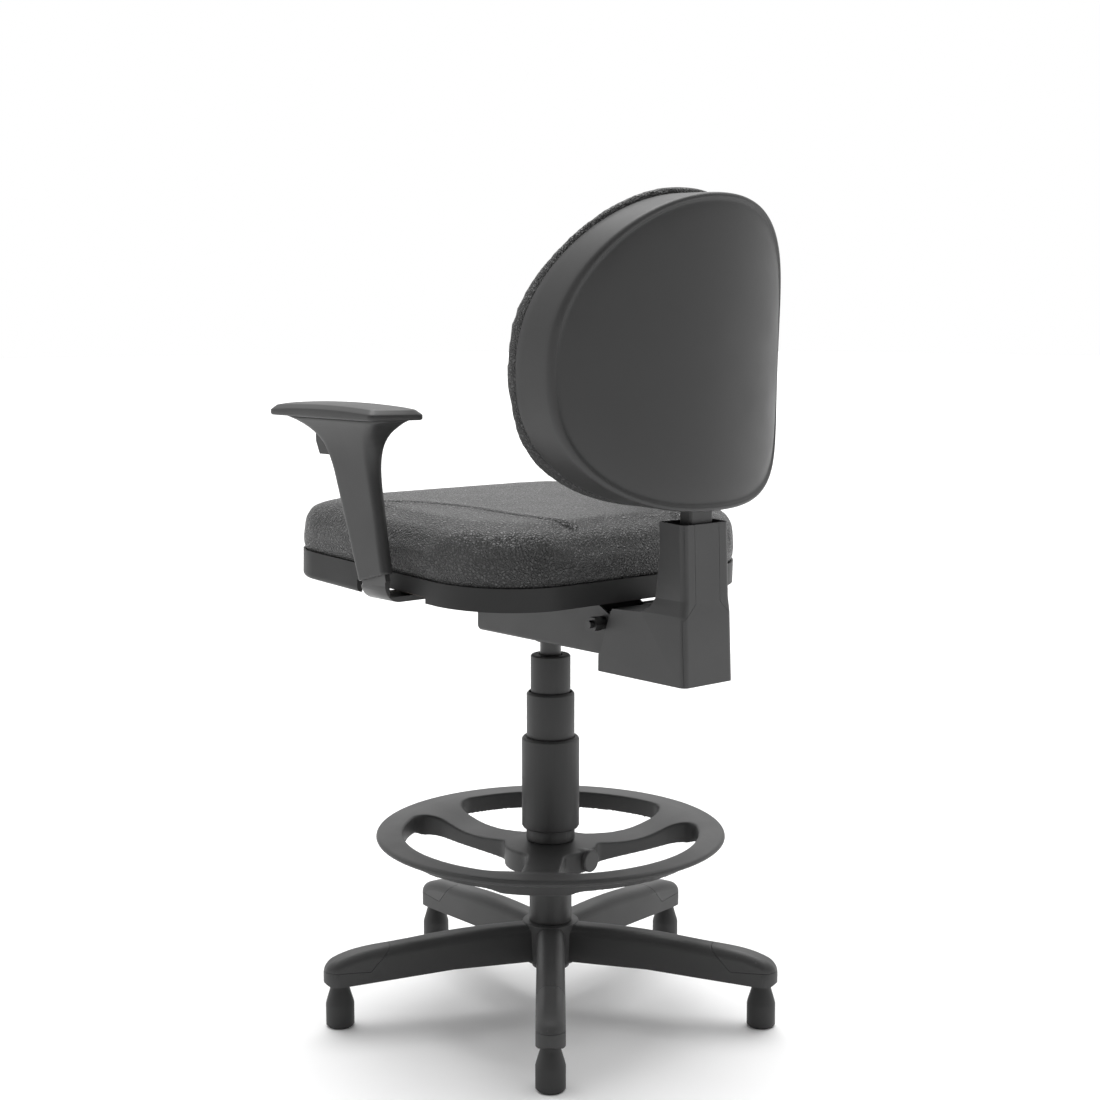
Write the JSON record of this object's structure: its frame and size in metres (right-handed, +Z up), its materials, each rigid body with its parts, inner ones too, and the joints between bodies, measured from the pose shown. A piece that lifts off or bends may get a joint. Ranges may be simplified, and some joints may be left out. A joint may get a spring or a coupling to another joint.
{
  "type": "drafting chair",
  "caption": "Tall swivel chair for a drafting table: star base on glides, sliding footring, gas lift in a telescopic cover, padded seat, reclining round back and height-adjustable arms.",
  "frame": {"origin": "on the column axis at the height of the floor", "axes": "+Z up along the column, the sitter faces -Y, the sitter's left side is +X"},
  "size_m": [0.602, 0.619, 1.0744],
  "materials": {
    "base_nylon": "matte textured",
    "cap_nylon": "matte textured",
    "foot_nylon": "matte textured",
    "ring_nylon": "matte textured",
    "sleeve_plastic": "matte textured",
    "black_steel": "black epoxy paint",
    "bar_steel": "black epoxy paint",
    "bare_steel": "bright",
    "cylinder_steel": "satin black",
    "fastener_steel": "black oxide",
    "bush_plastic": "natural",
    "shell_plastic": "fine satin texture",
    "arm_plastic": "fine satin texture",
    "pad_polyurethane": "soft satin",
    "board_wood": "dark stained plywood",
    "seat_leather": "pebbled grain",
    "back_leather": "pebbled grain"
  },
  "bodies": {
    "base": {"star_base": "base_nylon", "leg_cap_1": "cap_nylon", "leg_cap_2": "cap_nylon", "leg_cap_3": "cap_nylon", "leg_cap_4": "cap_nylon", "leg_cap_5": "cap_nylon", "glide_foot_1": "foot_nylon", "glide_foot_2": "foot_nylon", "glide_foot_3": "foot_nylon", "glide_foot_4": "foot_nylon", "glide_foot_5": "foot_nylon", "column_tube": "black_steel", "column_spacer": "base_nylon", "guide_bush": "bush_plastic", "thrust_bearing": "bare_steel", "gas_rod": "bare_steel", "retaining_clip": "bare_steel"},
    "footring": {"footring": "ring_nylon", "ring_collar": "ring_nylon", "sleeve_large": "sleeve_plastic"},
    "ring_knob": {"ring_knob": "ring_nylon"},
    "sleeve_middle": {"sleeve_middle": "sleeve_plastic"},
    "sleeve_small": {"sleeve_small": "sleeve_plastic"},
    "lift": {"gas_cylinder": "cylinder_steel"},
    "release_pin": {"release_pin": "cylinder_steel"},
    "seat": {"seat_channel": "black_steel", "seat_plate": "black_steel", "taper_socket": "cylinder_steel", "pivot_bolt": "fastener_steel", "pivot_nut": "fastener_steel", "seat_pan": "shell_plastic", "seat_board": "board_wood", "seat_cushion": "seat_leather", "seat_screws": "fastener_steel", "arm_bracket_left": "bar_steel", "arm_bracket_right": "bar_steel", "arm_bolts": "fastener_steel"},
    "height_lever": {"height_lever": "fastener_steel", "height_paddle": "arm_plastic"},
    "tilt_lever": {"tilt_lever": "fastener_steel", "tilt_paddle": "arm_plastic"},
    "back_support": {"support_arm": "black_steel", "upright_guide": "black_steel", "cover_shell": "shell_plastic", "cover_panel": "shell_plastic"},
    "backrest": {"upright_bar": "bar_steel", "back_plate": "black_steel", "back_board": "board_wood", "back_shell": "shell_plastic", "back_cushion": "back_leather", "back_screws": "fastener_steel"},
    "arm_left": {"arm_shell_left": "arm_plastic", "arm_pad_left": "pad_polyurethane"},
    "arm_right": {"arm_shell_right": "arm_plastic", "arm_pad_right": "pad_polyurethane"},
    "arm_button_left": {"arm_button_left": "arm_plastic"},
    "arm_button_right": {"arm_button_right": "arm_plastic"}
  },
  "joints": [
    {"name": "footring_slide", "type": "slide", "parent": "base", "child": "footring", "axis": [0, 0, 1], "range_m": [-0.06, 0.012]},
    {"name": "ring_knob_turn", "type": "hinge", "parent": "footring", "child": "ring_knob", "pos_m": [-0.0072, 0.04543, 0.208], "axis": [-0.1564, 0.9877, 0], "range_deg": [-180, 180]},
    {"name": "lift_slide", "type": "slide", "parent": "base", "child": "lift", "axis": [0, 0, 1], "range_m": [-0.12, 0.08]},
    {"name": "sleeve_middle_slide", "type": "slide", "parent": "base", "child": "sleeve_middle", "axis": [0, 0, 1], "range_m": [-0.054, 0.036]},
    {"name": "sleeve_small_slide", "type": "slide", "parent": "base", "child": "sleeve_small", "axis": [0, 0, 1], "range_m": [-0.1056, 0.0704]},
    {"name": "seat_swivel", "type": "hinge", "parent": "lift", "child": "seat", "pos_m": [0, 0, 0.52], "axis": [0, 0, 1], "continuous": true},
    {"name": "release_pin_slide", "type": "slide", "parent": "lift", "child": "release_pin", "axis": [0, 0, -1], "range_m": [0, 0.0016]},
    {"name": "height_lever_turn", "type": "hinge", "parent": "seat", "child": "height_lever", "pos_m": [-0.0345, 0, 0.558], "axis": [0, 1, 0], "range_deg": [0, 2.5], "stiffness_Nm_per_rad": 6, "springref_deg": -2.86},
    {"name": "tilt_lever_turn", "type": "hinge", "parent": "seat", "child": "tilt_lever", "pos_m": [-0.0345, 0.062, 0.541], "axis": [1, 0, 0], "range_deg": [-40, 0]},
    {"name": "back_recline", "type": "hinge", "parent": "seat", "child": "back_support", "pos_m": [0, 0.142, 0.542], "axis": [-1, 0, 0], "range_deg": [-3, 14]},
    {"name": "back_height", "type": "slide", "parent": "back_support", "child": "backrest", "axis": [0, 0, 1], "range_m": [-0.01, 0.06]},
    {"name": "arm_left_height", "type": "slide", "parent": "seat", "child": "arm_left", "axis": [0, -0.2419, 0.9703], "range_m": [0, 0.065]},
    {"name": "arm_right_height", "type": "slide", "parent": "seat", "child": "arm_right", "axis": [0, -0.2419, 0.9703], "range_m": [0, 0.065]},
    {"name": "arm_button_left_push", "type": "slide", "parent": "arm_left", "child": "arm_button_left", "axis": [0, 1, 0], "range_m": [0, 0.004], "stiffness_N_per_m": 800, "springref_m": -0.002},
    {"name": "arm_button_right_push", "type": "slide", "parent": "arm_right", "child": "arm_button_right", "axis": [0, 1, 0], "range_m": [0, 0.004], "stiffness_N_per_m": 800, "springref_m": -0.002}
  ],
  "couplings": [
    {"joint": "sleeve_middle_slide", "follows": "lift_slide", "ratio": 0.45},
    {"joint": "sleeve_small_slide", "follows": "lift_slide", "ratio": 0.88},
    {"joint": "release_pin_slide", "follows": "height_lever_turn", "m_per_rad": 0.0345}
  ]
}
